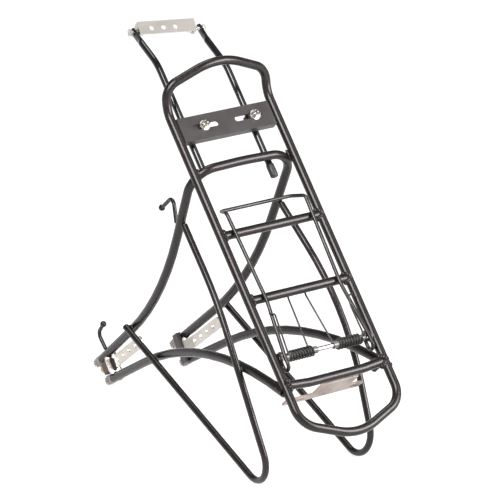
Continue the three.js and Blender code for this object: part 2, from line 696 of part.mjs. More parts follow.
// The lowest point of a mesh when the deck is tipped by an angle.
function lowest(mesh, angle) {
  const { array } = mesh.geometry.attributes.position;
  let low = Infinity;
  for (let i = 0; i < array.length; i += 3) {
    low = Math.min(low, array[i + 1] * Math.sin(angle) + array[i + 2] * Math.cos(angle));
  }
  return low;
}

// The tilt at which the side rod's bend and the rear leg's end touch the ground together.
function standingTilt({ rear, rod: sideRod }) {
  let [shallow, steep] = TILT_SEARCH;
  for (let i = 0; i < TILT_HALVINGS; i += 1) {
    const middle = (shallow + steep) / 2;
    if (lowest(sideRod, middle) < lowest(rear, middle)) {
      steep = middle;
    } else {
      shallow = middle;
    }
  }
  return (shallow + steep) / 2;
}

const rack = new THREE.Group();
rack.name = "luggage_rack";
deck.rotation.x = standingTilt(rests[1]);
rack.add(deck);
rack.updateMatrixWorld(true);
const bounds = new THREE.Box3().setFromObject(rack, true);
const centre = bounds.getCenter(new THREE.Vector3());
deck.position.set(-centre.x, -centre.y, -bounds.min.z);

export default rack;
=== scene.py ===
# Visual model of a tubular bicycle rear rack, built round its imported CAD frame.
# Shapes are laid out in millimetres in the deck frame (X across, Y towards the bicycle's front,
# Z up from the deck) and are turned into the row frame, in metres, when each piece is made.

import json
import math

import bmesh
import bpy
import numpy as np
from mathutils import Matrix, Vector


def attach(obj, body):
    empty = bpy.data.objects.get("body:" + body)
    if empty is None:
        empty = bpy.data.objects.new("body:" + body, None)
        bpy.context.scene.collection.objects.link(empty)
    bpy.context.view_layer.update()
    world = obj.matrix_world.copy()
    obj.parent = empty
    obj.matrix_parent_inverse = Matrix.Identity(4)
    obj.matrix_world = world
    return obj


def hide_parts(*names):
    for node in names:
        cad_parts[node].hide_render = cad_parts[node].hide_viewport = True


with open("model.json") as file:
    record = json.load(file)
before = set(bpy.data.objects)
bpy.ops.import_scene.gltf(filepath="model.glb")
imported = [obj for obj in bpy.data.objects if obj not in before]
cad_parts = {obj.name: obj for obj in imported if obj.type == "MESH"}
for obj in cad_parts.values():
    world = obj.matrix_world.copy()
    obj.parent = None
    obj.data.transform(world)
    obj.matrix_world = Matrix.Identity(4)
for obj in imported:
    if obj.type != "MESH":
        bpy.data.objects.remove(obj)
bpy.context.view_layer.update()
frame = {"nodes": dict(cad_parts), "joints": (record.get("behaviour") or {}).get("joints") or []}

# ---------------------------------------------------------------- dimensions, in millimetres

MM = 0.001
UP = np.array((0, 0, 1.0))
TUBE_R = 5.0
ROD_R = 3.75
WIRE_R = 2.1
SPRING_WIRE_R = 1.0
PEG_R = 2.3
PEG_BALL_R = 3.7
RUN_STEP, BAIL_STEP, STAY_STEP, PEG_STEP, NEAREST_STEP = 12, 8, 1.2, 0.6, 1.0
TUBE_SIDES, ROD_SIDES, PEG_SIDES, BAIL_SIDES, SPRING_SIDES = 32, 28, 24, 20, 12

RAIL_X = 64.0
RAIL_WELD_SPAN = (-240, 88)
LOOP_RIGHT = [
    (RAIL_X, 114.5, 0, 34),
    (63.8, 135.2, 16.3, 20.5),
]
LOOP_FRONT = (0, 149.9, 38.8, 70)
LOOP_REAR_SHOULDER = (RAIL_X, -261, 0, 27)
LOOP_REAR = (0, -286.2, -3.5, 60)

FRONT_CROSS_MIDDLE = (0, 41.3, 0.7, 360)
FRONT_LEG = [
    (64.8, 40, -0.6, 28),
    (59, -33.3, -170.7, 390),
    (51.3, -20.9, -374.7),
]
MIDDLE_CROSS_YS = (-38.1, -115.6)
REAR_CROSS = [(RAIL_X, -215.3, 0), (34, -218, 0, 60)]
REAR_LEG = [
    (53, -217.5, -10.6),
    (66.4, -212, -10.6, 10),
    (61.4, -101.4, -106.9, 480),
    (50.3, -46.3, -367.7),
]
PANNIER_ROD = [
    (62.8, 6.5, -60.8),
    (69.8, -89.6, -48.1, 300),
    (74.1, -169.8, -57.4, 400),
    (64.9, -318.9, -104.3, 26.8),
    (66.4, -24.9, -255.7),
]

LEG_END, FLUTES, FLUTE_SIDES = 15.0, 10, 96
# Radius, distance along the end and depth of the flutes there.
LEG_END_PROFILE = [
    (4.2, 0, 0), (5.4, 0.3, 0), (5.4, 1.6, 0),
    (4.7, 2.2, 0.9), (4.7, LEG_END - 1.2, 0.9), (4.3, LEG_END - 0.1, 0.6),
    (3.4, LEG_END, 0), (2.6, LEG_END, 0), (2.5, LEG_END - 1.5, 0),
]

AXLE_Y, AXLE_Z, AXLE_R, AXLE_HALF = -185.5, 1.5, 2.5, 58.7
LUG_X, LUG_R, LUG_BORE, LUG_THICK, LUG_EDGE = 56.5, 6.2, 2.8, 2.1, 0.35
SLEEVE_X = 10
SLEEVE_PROFILE = [(2.8, 0.3), (3.6, 0), (4, 0.4), (4, 41), (3.6, 41.4), (2.8, 41.1)]
COIL_R, COIL_TURNS, COIL_IN, COIL_OUT, COIL_STEPS = 5.25, 8, 16, 45.6, 28
SPRING_FOOT = [(11, -111, -7.2), (11, -121, -8.8, 4)]
SPRING_ARM = [
    (48.4, AXLE_Y, AXLE_Z + COIL_R),
    (46.4, -150, 8.8, 30),
    (46.8, -139.5, 11.2, 3),
    (53.5, -137, 11.2),
]
BAIL = [
    (54, -179.8, 1.2),
    (54, -179.8, -3.7, 3.4),
    (54, -200, -3.7, 5.4),
    (54, -200, 7.3, 5.4),
    (54, -186, 7.3, 60),
    (47, -122, 7.4, 80),
    (49, -60, 7.6, 80),
    (50.5, -15.9, 7.7, 5),
    (44.9, -6.1, -10.6, 4.5),
]

STAY_Z = -12.6
CLAMP_Y = 89.3
CLAMP_TOP = 10.4
STAYS = {
    "left": {
        "clamp_x": -28.4,
        "cap": 6,
        "line": [
            (-43.5, 41, STAY_Z),
            (-43.5, 149, STAY_Z, 60),
            (-42.6, 177.5, -14, 60),
            (-41.2, 228.3, -35.2),
        ],
    },
    "right": {
        "clamp_x": 36.4,
        "cap": 15,
        "line": [
            (37.6, 22, STAY_Z),
            (37.6, 160, STAY_Z, 60),
            (35.4, 199, -24.3, 30),
            (36, 216, -29.3),
        ],
    },
}
PLATE_TOP = 2.2
GAP = 0.3

UPPER_PEG = [(-62.2, 15.6, -75), (-58.2, 43.5, -66, 8), (-58, 45, -97)]
LOWER_PEG = [(-54, -17.8, -338.6), (-54.6, 3, -339.5, 8), (-55, 5.5, -320)]
BALL_STATIONS = (0.25, 0.5, 0.7, 0.85, 0.94, 0.985)

FOOT_Y, FOOT_Z, FOOT_LEAN, FOOT_X = -36.6, -341.0, math.radians(5.5), 52.0

SIDES = (("left", -1), ("right", 1))

# ---------------------------------------------------------------- from the deck to the row frame

joints = {joint["name"]: joint for joint in frame["joints"]}
_, slide_y, slide_z = joints["stay_slide"]["axis"]
TILT = Matrix.Rotation(math.atan2(slide_z, slide_y), 4, "X")
hinge = Vector(joints["clip_hinge"]["pos_m"]) - TILT @ Vector((0, AXLE_Y * MM, AXLE_Z * MM))
hinge.x = 0
DECK = Matrix.Translation(hinge) @ TILT @ Matrix.Scale(MM, 4)


def unit(v):
    return np.asarray(v, float) / np.linalg.norm(v)


# ---------------------------------------------------------------- centrelines

BEND_STEP = math.radians(4)


def turned(v, axis, angle):
    c, s = math.cos(angle), math.sin(angle)
    return v * c + np.cross(axis, v) * s + axis * (axis @ v) * (1 - c)


def bend(before, corner, after):
    """Points round one corner of a bent tube, with the heading at each."""
    point, radius = np.array(corner[:3], float), corner[3]
    into, out = unit(point - before), unit(after - point)
    turn = math.acos(max(-1.0, min(1.0, into @ out)))
    axis = unit(np.cross(into, out))
    spoke = np.cross(into, axis)
    centre = point - into * radius * math.tan(turn / 2) - spoke * radius
    steps = max(3, math.ceil(turn / BEND_STEP))
    angles = [turn * k / steps for k in range(steps + 1)]
    return [(centre + turned(spoke, axis, a) * radius, turned(into, axis, a)) for a in angles]


def centreline(corners, closed=False):
    """Straight runs joined by circular bends. A corner is x, y, z and its bend radius."""
    spots = [np.array(c[:3], float) for c in corners]
    count = len(corners)
    stations = []
    for i in range(count):
        if closed or 0 < i < count - 1:
            stations += bend(spots[i - 1], corners[i], spots[(i + 1) % count])
        elif i == 0:
            stations.append((spots[0], unit(spots[1] - spots[0])))
        else:
            stations.append((spots[-1], unit(spots[-1] - spots[-2])))
    return stations


def mirrored(corners):
    return [(-c[0], *c[1:]) for c in corners]


def both_sides(corners, middle=()):
    return [*corners, *middle, *reversed(mirrored(corners))]


def on_side(sign, corners):
    return list(corners) if sign > 0 else mirrored(corners)


def resampled(stations, step):
    """The same line with its long straight runs cut into short ones."""
    made = [stations[0]]
    for (p, _), (q, heading) in zip(stations, stations[1:]):
        pieces = max(1, math.ceil(np.linalg.norm(q - p) / step))
        for k in range(1, pieces):
            made.append((p + (q - p) * k / pieces, unit(q - p)))
        made.append((q, heading))
    return made


# ---------------------------------------------------------------- meshes

class Shape:
    """Vertices in deck millimetres and faces, gathered from several closed surfaces."""

    def __init__(self):
        self.points = []
        self.faces = []

    def rings(self, rings, loop=False):
        """Skins a row of rings that have the same number of points each."""
        first = len(self.points)
        count = len(rings[0])
        for ring in rings:
            self.points.extend(np.asarray(ring, float).tolist())
        rows = len(rings)
        for j in range(rows if loop else rows - 1):
            a, b = first + j * count, first + ((j + 1) % rows) * count
            for i in range(count):
                k = (i + 1) % count
                self.faces.append((a + i, a + k, b + k, b + i))
        if not loop:
            last = first + (rows - 1) * count
            self.faces.append(tuple(range(first + count - 1, first - 1, -1)))
            self.faces.append(tuple(range(last, last + count)))
        return self


def circle(count):
    angles = np.arange(count) * 2 * math.pi / count
    return np.stack([np.cos(angles), np.sin(angles)], 1)


def carried(stations, up=None):
    """Two cross directions at each station, carried along without twist."""
    heading = stations[0][1]
    side = np.cross(heading, (0, 0, 1) if abs(heading[2]) < 0.9 else (0, 1, 0))
    pairs = []
    for _, heading in stations:
        if up is not None:
            side = np.cross(heading, up)
        side = unit(side - heading * (side @ heading))
        pairs.append((side, np.cross(side, heading)))
    return pairs


def tube(shape, stations, radius, sides, closed=False, up=None, edge=0.5):
    """Skins a round bar along a line. radius is a number, or two half-widths at each station."""
    outline = circle(sides)
    pairs = carried(stations, up)
    rings = []
    for i, ((point, _), (across, over)) in enumerate(zip(stations, pairs)):
        wide, high = (radius, radius) if np.isscalar(radius) else radius[i]
        rings.append(point + outline[:, :1] * across * wide + outline[:, 1:] * over * high)
    if not closed and edge:
        ends = [(0, -1, stations[0]), (-1, 1, stations[-1])]
        for index, sign, (point, heading) in ends:
            chamfered = point + (rings[index] - point) * (1 - edge / TUBE_R)
            rings[index] = rings[index] - sign * heading * edge
            rings.insert(0 if sign < 0 else len(rings), chamfered)
    return shape.rings(rings, loop=closed)


def axes(direction, hint=(0, 0, 1)):
    """Two directions square to a given one, and that one."""
    z = unit(direction)
    if abs(z @ unit(hint)) > 0.95:
        hint = (0, 1, 0)
    x = unit(np.cross(hint, z))
    return x, np.cross(z, x), z


TURNED_SIDES, HEX_SIDES, WASHER_SIDES, THREAD_SIDES = 40, 72, 48, 36
HEX_HALF = math.radians(30)


def turned_part(shape, origin, direction, profile, sides=TURNED_SIDES, hint=(0, 0, 1), loop=False):
    """Spins a profile of (radius, height) pairs.

    A third number is the distance of a hexagon's flats, which cut off what stands outside them.
    A fourth chamfers the corners, by lowering (1) or raising (-1) them.
    """
    x, y, z = axes(direction, hint)
    ring = circle(sides)
    rings = []
    for entry in profile:
        radius, height = entry[:2]
        flats = entry[2] if len(entry) > 2 else None
        reach = np.full(sides, float(radius))
        drop = np.zeros(sides)
        if flats:
            angles = (np.arange(sides) * 360 / sides) % 60 - 30
            reach = np.minimum(flats / np.cos(np.radians(angles)), radius)
            if len(entry) > 3:
                drop = np.maximum(0, reach - flats) * math.tan(HEX_HALF) * entry[3]
        rings.append(
            np.asarray(origin, float)
            + (ring[:, :1] * x + ring[:, 1:] * y) * reach[:, None]
            + z * (height - drop)[:, None]
        )
    return shape.rings(rings, loop=loop)


def hex_head(shape, origin, direction, flats, height, hint=(0, 0, 1)):
    """A bolt head with a chamfered top, standing on a thin washer face."""
    corner = flats / math.cos(HEX_HALF)
    profile = [
        (flats * 0.93, 0),
        (flats * 0.93, 0.3),
        (corner, 0.3, flats),
        (corner, height, flats, 1),
        (flats * 0.96, height),
        (flats * 0.45, height),
        (flats * 0.4, height - 0.25),
    ]
    return turned_part(shape, origin, direction, profile, HEX_SIDES, hint)


def hex_nut(shape, origin, direction, flats, height, bore, hint=(0, 0, 1)):
    corner = flats / math.cos(HEX_HALF)
    profile = [
        (bore, 0.3),
        (flats * 0.93, 0),
        (corner, 0.45, flats, -1),
        (corner, height, flats, 1),
        (flats * 0.96, height),
        (bore + 0.45, height),
        (bore, height - 0.45),
    ]
    return turned_part(shape, origin, direction, profile, HEX_SIDES, hint, loop=True)


def washer(shape, origin, direction, outer, bore, thick, edge=0.18):
    profile = [
        (bore, 0), (outer - edge, 0), (outer, edge), (outer, thick - edge),
        (outer - edge, thick), (bore + edge, thick), (bore, thick - edge),
    ]
    return turned_part(shape, origin, direction, profile, WASHER_SIDES, loop=True)


THREAD_PITCH = 0.8


def threaded(shape, origin, direction, radius, length):
    """A shank with ridges for a thread, which do not wind, and a chamfered end."""
    profile = [(radius * 0.86, 0)]
    for k in range(int(length / THREAD_PITCH)):
        profile += [
            (radius, (k + 0.35) * THREAD_PITCH),
            (radius, (k + 0.5) * THREAD_PITCH),
            (radius * 0.88, (k + 0.9) * THREAD_PITCH),
        ]
    profile += [(radius * 0.8, length), (radius * 0.45, length + 0.3)]
    return turned_part(shape, origin, direction, profile, THREAD_SIDES)


# ---------------------------------------------------------------- welds

BEAD_STEPS, BEAD_SIDES, BEAD_SIZE, REAR_BEAD_SIZE = 96, 10, 2.2, 2.9
BEAD_RIPPLES, BEAD_RIPPLE_DEPTH = 20, 0.13
LENS_STEPS, LENS_SIDES, LENS_DEPTH = 28, 20, 2.2
REAR_BEAD_START, REAR_BEAD_HEADING = (34, -218, 0), (30, 2.7, 0)


def weld_collar(shape, start, direction, radius, host_point, host_direction, host_radius, size=BEAD_SIZE):
    """A rippled bead where a tube runs into another one's wall."""
    x, y, z = axes(direction)
    h = unit(host_direction)
    path = []
    for cx, cy in circle(BEAD_STEPS):
        p = np.asarray(start, float) + (x * cx + y * cy) * radius
        w = p - np.asarray(host_point, float)
        a = z - h * (z @ h)
        b = w - h * (w @ h)
        qa, qb, qc = a @ a, 2 * a @ b, b @ b - host_radius ** 2
        root = math.sqrt(max(0.0, qb * qb - 4 * qa * qc))
        path.append(p + z * (-qb - root) / (2 * qa))
    path = np.array(path)
    bead = circle(BEAD_SIDES)
    rings = []
    for i in range(BEAD_STEPS):
        heading = unit(path[(i + 1) % BEAD_STEPS] - path[i - 1])
        out = path[i] - np.asarray(start, float)
        out = unit(out - z * (out @ z))
        out = unit(out - heading * (out @ heading))
        over = np.cross(heading, out)
        ripple = 1 + BEAD_RIPPLE_DEPTH * math.sin(i * 2 * math.pi * BEAD_RIPPLES / BEAD_STEPS)
        rings.append(path[i] + (bead[:, :1] * out + bead[:, 1:] * over) * (size * ripple))
    return shape.rings(rings, loop=True)


def nearest(line_a, line_b):
    """The closest pair of points of two centrelines, and the headings there."""
    a, b = resampled(line_a, NEAREST_STEP), resampled(line_b, NEAREST_STEP)
    pa, pb = np.array([p for p, _ in a]), np.array([p for p, _ in b])
    gaps = np.linalg.norm(pa[:, None] - pb[None], axis=2)
    i, j = np.unravel_index(np.argmin(gaps), gaps.shape)
    return pa[i], a[i][1], pb[j], b[j][1]


def weld_between(shape, line_a, radius_a, line_b, radius_b, length, width):
    """A lens of weld metal filling the groove between two bars that pass close to each other."""
    p, heading_p, q, heading_q = nearest(line_a, line_b)
    across = unit(q - p)
    middle = (p + across * radius_a + q - across * radius_b) / 2
    if heading_p @ heading_q < 0:
        heading_q = -heading_q
    along = heading_p + heading_q
    along = unit(along - across * (along @ across))
    side = np.cross(along, across)
    outline = circle(LENS_SIDES)
    rings = []
    for k in range(LENS_STEPS + 1):
        t = -math.cos(math.pi * k / LENS_STEPS)
        swell = max(0.02, math.sqrt(max(0.0, 1 - t * t)))
        ripple = 1 + 0.05 * math.sin(t * 22)
        flat = outline[:, :1] * side * width * swell * ripple
        deep = outline[:, 1:] * across * LENS_DEPTH * swell
        rings.append(middle + along * t * length / 2 + (flat + deep))
    return shape.rings(rings)


# ---------------------------------------------------------------- materials

NOISE_LOW, NOISE_HIGH = 0.3, 0.7
COAT_ROUGHNESS, RELIEF_DEPTH = 0.12, 0.0002


def noise(tree, coords, scale, detail, stretch=None):
    node = tree.nodes.new("ShaderNodeTexNoise")
    node.inputs["Scale"].default_value = scale
    node.inputs["Detail"].default_value = detail
    source = coords
    if stretch:
        mapping = tree.nodes.new("ShaderNodeMapping")
        mapping.inputs["Scale"].default_value = stretch
        tree.links.new(coords, mapping.inputs["Vector"])
        source = mapping.outputs["Vector"]
    tree.links.new(source, node.inputs["Vector"])
    return node.outputs["Fac"]


def remap(tree, value, low, high, out_low, out_high):
    node = tree.nodes.new("ShaderNodeMapRange")
    limits = {"From Min": low, "From Max": high, "To Min": out_low, "To Max": out_high}
    for name, number in limits.items():
        node.inputs[name].default_value = number
    tree.links.new(value, node.inputs["Value"])
    return node.outputs["Result"]


def tint(tree, value, low, high):
    ramp = tree.nodes.new("ShaderNodeValToRGB")
    ramp.color_ramp.elements[0].position = NOISE_LOW
    ramp.color_ramp.elements[1].position = NOISE_HIGH
    ramp.color_ramp.elements[0].color = (*low, 1)
    ramp.color_ramp.elements[1].color = (*high, 1)
    tree.links.new(value, ramp.inputs["Fac"])
    return ramp.outputs["Color"]


def surface(name, dark, light, metallic, rough, grain, bump,
            coat=0.0, stretch=None, patch=55, sheen=(1, 1, 1), level=0.5):
    """A finish with cloudy colour, uneven gloss and a fine relief, all from noise in object space.

    rough is the lowest and highest roughness. patch and grain are the noise scales of the colour and
    of the relief. sheen tints the reflections and level is their strength.
    """
    material = bpy.data.materials.new(name)
    material.use_nodes = True
    tree = material.node_tree
    shader = tree.nodes["Principled BSDF"]
    coords = tree.nodes.new("ShaderNodeTexCoord").outputs["Object"]
    shader.inputs["Metallic"].default_value = metallic
    shader.inputs["Specular IOR Level"].default_value = level
    shader.inputs["Specular Tint"].default_value = (*sheen, 1)
    shader.inputs["Coat Weight"].default_value = coat
    shader.inputs["Coat Roughness"].default_value = COAT_ROUGHNESS
    cloud = noise(tree, coords, patch, 4.0, stretch)
    tree.links.new(tint(tree, cloud, dark, light), shader.inputs["Base Color"])
    gloss = noise(tree, coords, patch * 3, 2.0, stretch)
    tree.links.new(remap(tree, gloss, NOISE_LOW, NOISE_HIGH, *rough), shader.inputs["Roughness"])
    relief = tree.nodes.new("ShaderNodeBump")
    relief.inputs["Strength"].default_value = bump
    relief.inputs["Distance"].default_value = RELIEF_DEPTH
    tree.links.new(noise(tree, coords, grain, 2.0, stretch), relief.inputs["Height"])
    tree.links.new(relief.outputs["Normal"], shader.inputs["Normal"])
    return material


BRUSHED = (0.08, 1.0, 1.0)
WARM = (1.0, 0.90, 0.86)
COOL = (1.0, 0.93, 0.95)
powder = surface(
    "powder_black", (0.006, 0.0045, 0.004), (0.012, 0.010, 0.0095),
    0, (0.25, 0.28), 450, 0.012, sheen=COOL, level=0.38,
)
gloss_black = surface(
    "gloss_black", (0.004, 0.004, 0.005), (0.010, 0.010, 0.012),
    0, (0.12, 0.14), 300, 0.008, coat=0.2, level=0.45,
)
dark_steel = surface(
    "black_steel", (0.022, 0.020, 0.021), (0.034, 0.031, 0.032),
    0, (0.37, 0.41), 600, 0.02, sheen=WARM, level=0.45,
)
ribbed_grey = surface(
    "ribbed_grey", (0.22, 0.20, 0.19), (0.30, 0.275, 0.26),
    0, (0.42, 0.48), 600, 0.06,
)
nickel = surface(
    "nickel", (0.52, 0.485, 0.45), (0.66, 0.62, 0.58),
    1, (0.34, 0.38), 420, 0.006, stretch=BRUSHED,
)
warm_nickel = surface(
    "warm_nickel", (0.34, 0.275, 0.24), (0.44, 0.365, 0.32),
    1, (0.34, 0.38), 420, 0.006,
)
bright = surface(
    "bright_zinc", (0.56, 0.545, 0.53), (0.74, 0.725, 0.71),
    1, (0.24, 0.28), 420, 0.006,
)
spring_steel = surface(
    "spring_steel", (0.022, 0.020, 0.019), (0.048, 0.044, 0.042),
    0.65, (0.26, 0.30), 500, 0.02,
)
axle_steel = surface(
    "axle_steel", (0.52, 0.51, 0.50), (0.70, 0.69, 0.68),
    1, (0.16, 0.26), 420, 0.006,
)
warm_zinc = surface(
    "warm_zinc", (0.50, 0.42, 0.33), (0.70, 0.61, 0.50),
    1, (0.20, 0.32), 1500, 0.02, patch=160,
)
brass_zinc = surface(
    "yellow_zinc", (0.42, 0.29, 0.14), (0.62, 0.48, 0.28),
    1, (0.22, 0.34), 1500, 0.02, patch=160,
)
sleeve_grey = surface(
    "sleeve_grey", (0.07, 0.066, 0.064), (0.12, 0.115, 0.11),
    0, (0.16, 0.20), 600, 0.02,
)
vinyl = surface(
    "soft_black", (0.006, 0.006, 0.006), (0.014, 0.014, 0.014),
    0, (0.40, 0.46), 600, 0.06,
)


# ---------------------------------------------------------------- making and riding pieces

PIECE_SHARP, NODE_SHARP, BEVEL_FROM = 32, 28, math.radians(40)


def smooth_by_angle(mesh, degrees):
    mesh.polygons.foreach_set("use_smooth", [True] * len(mesh.polygons))
    mesh.set_sharp_from_angle(angle=math.radians(degrees))


def make(name, shape, material, body, stands_for=(), matrix=None):
    """Turns a shape into a piece that rides a body and stands in for CAD nodes."""
    mesh = bpy.data.meshes.new(name)
    mesh.from_pydata(shape.points, [], shape.faces)
    mesh.transform(DECK @ matrix if matrix else DECK)
    cleaner = bmesh.new()
    cleaner.from_mesh(mesh)
    bmesh.ops.recalc_face_normals(cleaner, faces=cleaner.faces)
    cleaner.to_mesh(mesh)
    cleaner.free()
    smooth_by_angle(mesh, PIECE_SHARP)
    mesh.materials.append(material)
    piece = bpy.data.objects.new(name, mesh)
    bpy.context.scene.collection.objects.link(piece)
    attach(piece, body)
    if stands_for:
        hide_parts(*stands_for)


def make_coated(name, shape, stands_for=()):
    """A powder-coated piece of the rack."""
    make(name, shape, powder, "rack", stands_for)


def refinish(node, material, bevel):
    """Gives a CAD node its material and softly rounded edges."""
    piece = frame["nodes"][node]
    if piece.material_slots:
        for holder in piece.material_slots:
            holder.material = material
    else:
        piece.data.materials.append(material)
    smooth_by_angle(piece.data, NODE_SHARP)
    rounding = piece.modifiers.new("edges", "BEVEL")
    rounding.width = bevel * MM
    rounding.segments = 3
    rounding.limit_method = "ANGLE"
    rounding.angle_limit = BEVEL_FROM
    rounding.use_clamp_overlap = True
    rounding.harden_normals = False


# ---------------------------------------------------------------- tubes

def build_loop():
    right = [LOOP_REAR_SHOULDER, *LOOP_RIGHT]
    corners = [*right, LOOP_FRONT, *reversed(mirrored(right)), LOOP_REAR]
    line = resampled(centreline(corners, closed=True), RUN_STEP)
    shape = tube(Shape(), line, TUBE_R, TUBE_SIDES, closed=True, up=UP)
    make_coated("deck_loop", shape, ("left_side_tube", "right_side_tube", "front_bow", "rear_bow"))


def bar_line(corners):
    return resampled(centreline(corners), RUN_STEP)


def cut_back(corners, length):
    """The same corners with the last straight run made shorter."""
    *rest, before, tip = corners
    heading = unit(np.array(tip[:3]) - np.array(before[:3]))
    return [*rest, before, tuple(np.array(tip[:3]) - heading * length)]


front_line = bar_line(both_sides(list(reversed(cut_back(FRONT_LEG, LEG_END))), [FRONT_CROSS_MIDDLE]))
front_halves, rear_lines, rod_lines, rail_lines = {}, {}, {}, {}
for _, side_sign in SIDES:
    front_halves[side_sign] = bar_line(on_side(side_sign, [FRONT_CROSS_MIDDLE[:3], *FRONT_LEG]))
    rear_lines[side_sign] = bar_line(on_side(side_sign, cut_back(REAR_LEG, LEG_END)))
    rod_lines[side_sign] = bar_line(on_side(side_sign, PANNIER_ROD))
    rail_lines[side_sign] = [
        (np.array((side_sign * RAIL_X, y, 0.0)), np.array((0, 1.0, 0))) for y in RAIL_WELD_SPAN
    ]
rear_cross_line = centreline(both_sides(REAR_CROSS))


def build_legs():
    make_coated("front_leg_tube", tube(Shape(), front_line, TUBE_R, TUBE_SIDES),
                ("front_cross_tube", "left_front_leg", "right_front_leg"))
    for side, sign in SIDES:
        leg = tube(Shape(), rear_lines[sign], TUBE_R, TUBE_SIDES)
        make_coated(f"{side}_rear_leg_tube", leg, (f"{side}_rear_leg",))
        rod = tube(Shape(), rod_lines[sign], ROD_R, ROD_SIDES)
        make_coated(f"{side}_pannier_rail", rod, (f"{side}_pannier_rod",))


def fluted_end(shape, stop, heading):
    """A ribbed leg end: a collar above, ridges along the bar and a hollow in the tip."""
    x, y, z = axes(heading)
    outline = circle(FLUTE_SIDES)
    flutes = np.cos(np.arange(FLUTE_SIDES) * 2 * math.pi * FLUTES / FLUTE_SIDES)
    rings = []
    for radius, height, depth in LEG_END_PROFILE:
        reach = (radius + depth * flutes)[:, None]
        rings.append(stop + z * height + (outline[:, :1] * x + outline[:, 1:] * y) * reach)
    return shape.rings(rings)


def build_leg_ends():
    for side, sign in SIDES:
        for name, corners in (("front", FRONT_LEG), ("rear", REAR_LEG)):
            corners = on_side(sign, corners)
            tip = np.array(corners[-1][:3])
            heading = unit(tip - np.array(corners[-2][:3]))
            end = fluted_end(Shape(), tip - heading * LEG_END, heading)
            make(f"{side}_{name}_leg_end", end, ribbed_grey, "rack")


def build_cross_tubes():
    for i, y in enumerate(MIDDLE_CROSS_YS):
        line = bar_line([(-RAIL_X, y, 0), (RAIL_X, y, 0)])
        cross = tube(Shape(), line, TUBE_R, TUBE_SIDES)
        make_coated(f"cross_tube_{i + 2}", cross, (f"middle_cross_tube_{i + 1}",))
    make_coated("cross_tube_4", tube(Shape(), rear_cross_line, TUBE_R, TUBE_SIDES), ("rear_cross_tube",))


def build_welds():
    shape = Shape()
    for _, sign in SIDES:
        rail = ((sign * RAIL_X, 0, 0), (0, 1, 0), TUBE_R)
        for y in MIDDLE_CROSS_YS:
            weld_collar(shape, (0, y, 0), (sign, 0, 0), TUBE_R, *rail)
        start, heading = on_side(sign, [REAR_BEAD_START, REAR_BEAD_HEADING])
        weld_collar(shape, start, heading, TUBE_R, *rail, size=REAR_BEAD_SIZE)
        weld_between(shape, rail_lines[sign], TUBE_R, front_halves[sign], TUBE_R, 16, 3.6)
        weld_between(shape, rail_lines[sign], TUBE_R, rear_lines[sign], TUBE_R, 12, 3.4)
        weld_between(shape, rod_lines[sign][3:-3], ROD_R, rear_lines[sign], TUBE_R, 9, 3.2)
        for piece_of_rod in (rod_lines[sign][:3], rod_lines[sign][-3:]):
            weld_between(shape, piece_of_rod, ROD_R, front_halves[sign], TUBE_R, 11, 3.0)
    make_coated("weld_beads", shape)


def build_pegs():
    for name, corners in (("upper_pump_peg", UPPER_PEG), ("lower_pump_peg", LOWER_PEG)):
        line = resampled(centreline(corners), PEG_STEP)
        tip, heading = line[-1]
        line += [(tip + heading * PEG_BALL_R * t, heading) for t in BALL_STATIONS]
        radii = []
        for point, _ in line:
            off = np.linalg.norm(point - tip)
            ball = math.sqrt(max(0.0, PEG_BALL_R ** 2 - off ** 2))
            beyond = (point - tip) @ heading > 0
            radius = ball if beyond else max(PEG_R, ball)
            radii.append((radius, radius))
        make_coated(f"{name}_wire", tube(Shape(), line, radii, PEG_SIDES, edge=0), (name,))


# ---------------------------------------------------------------- sprung clip

def coil_line(sign):
    """A spring's foot and coil. Its arm is another piece, since it turns with the clip."""
    start = (COIL_IN, AXLE_Y, AXLE_Z - COIL_R)
    line = centreline(on_side(sign, [*SPRING_FOOT, start]))[:-1]
    sweep = 2 * math.pi * COIL_TURNS + math.pi
    steps = COIL_TURNS * COIL_STEPS + COIL_STEPS // 2
    slope = sign * (COIL_OUT - COIL_IN) / sweep
    for i in range(steps + 1):
        share = i / steps
        angle = -math.pi / 2 - sweep * share
        point = np.array((
            sign * (COIL_IN + (COIL_OUT - COIL_IN) * share),
            AXLE_Y + COIL_R * math.cos(angle),
            AXLE_Z + COIL_R * math.sin(angle),
        ))
        heading = unit((slope, COIL_R * math.sin(angle), -COIL_R * math.cos(angle)))
        line.append((point, heading))
    return line


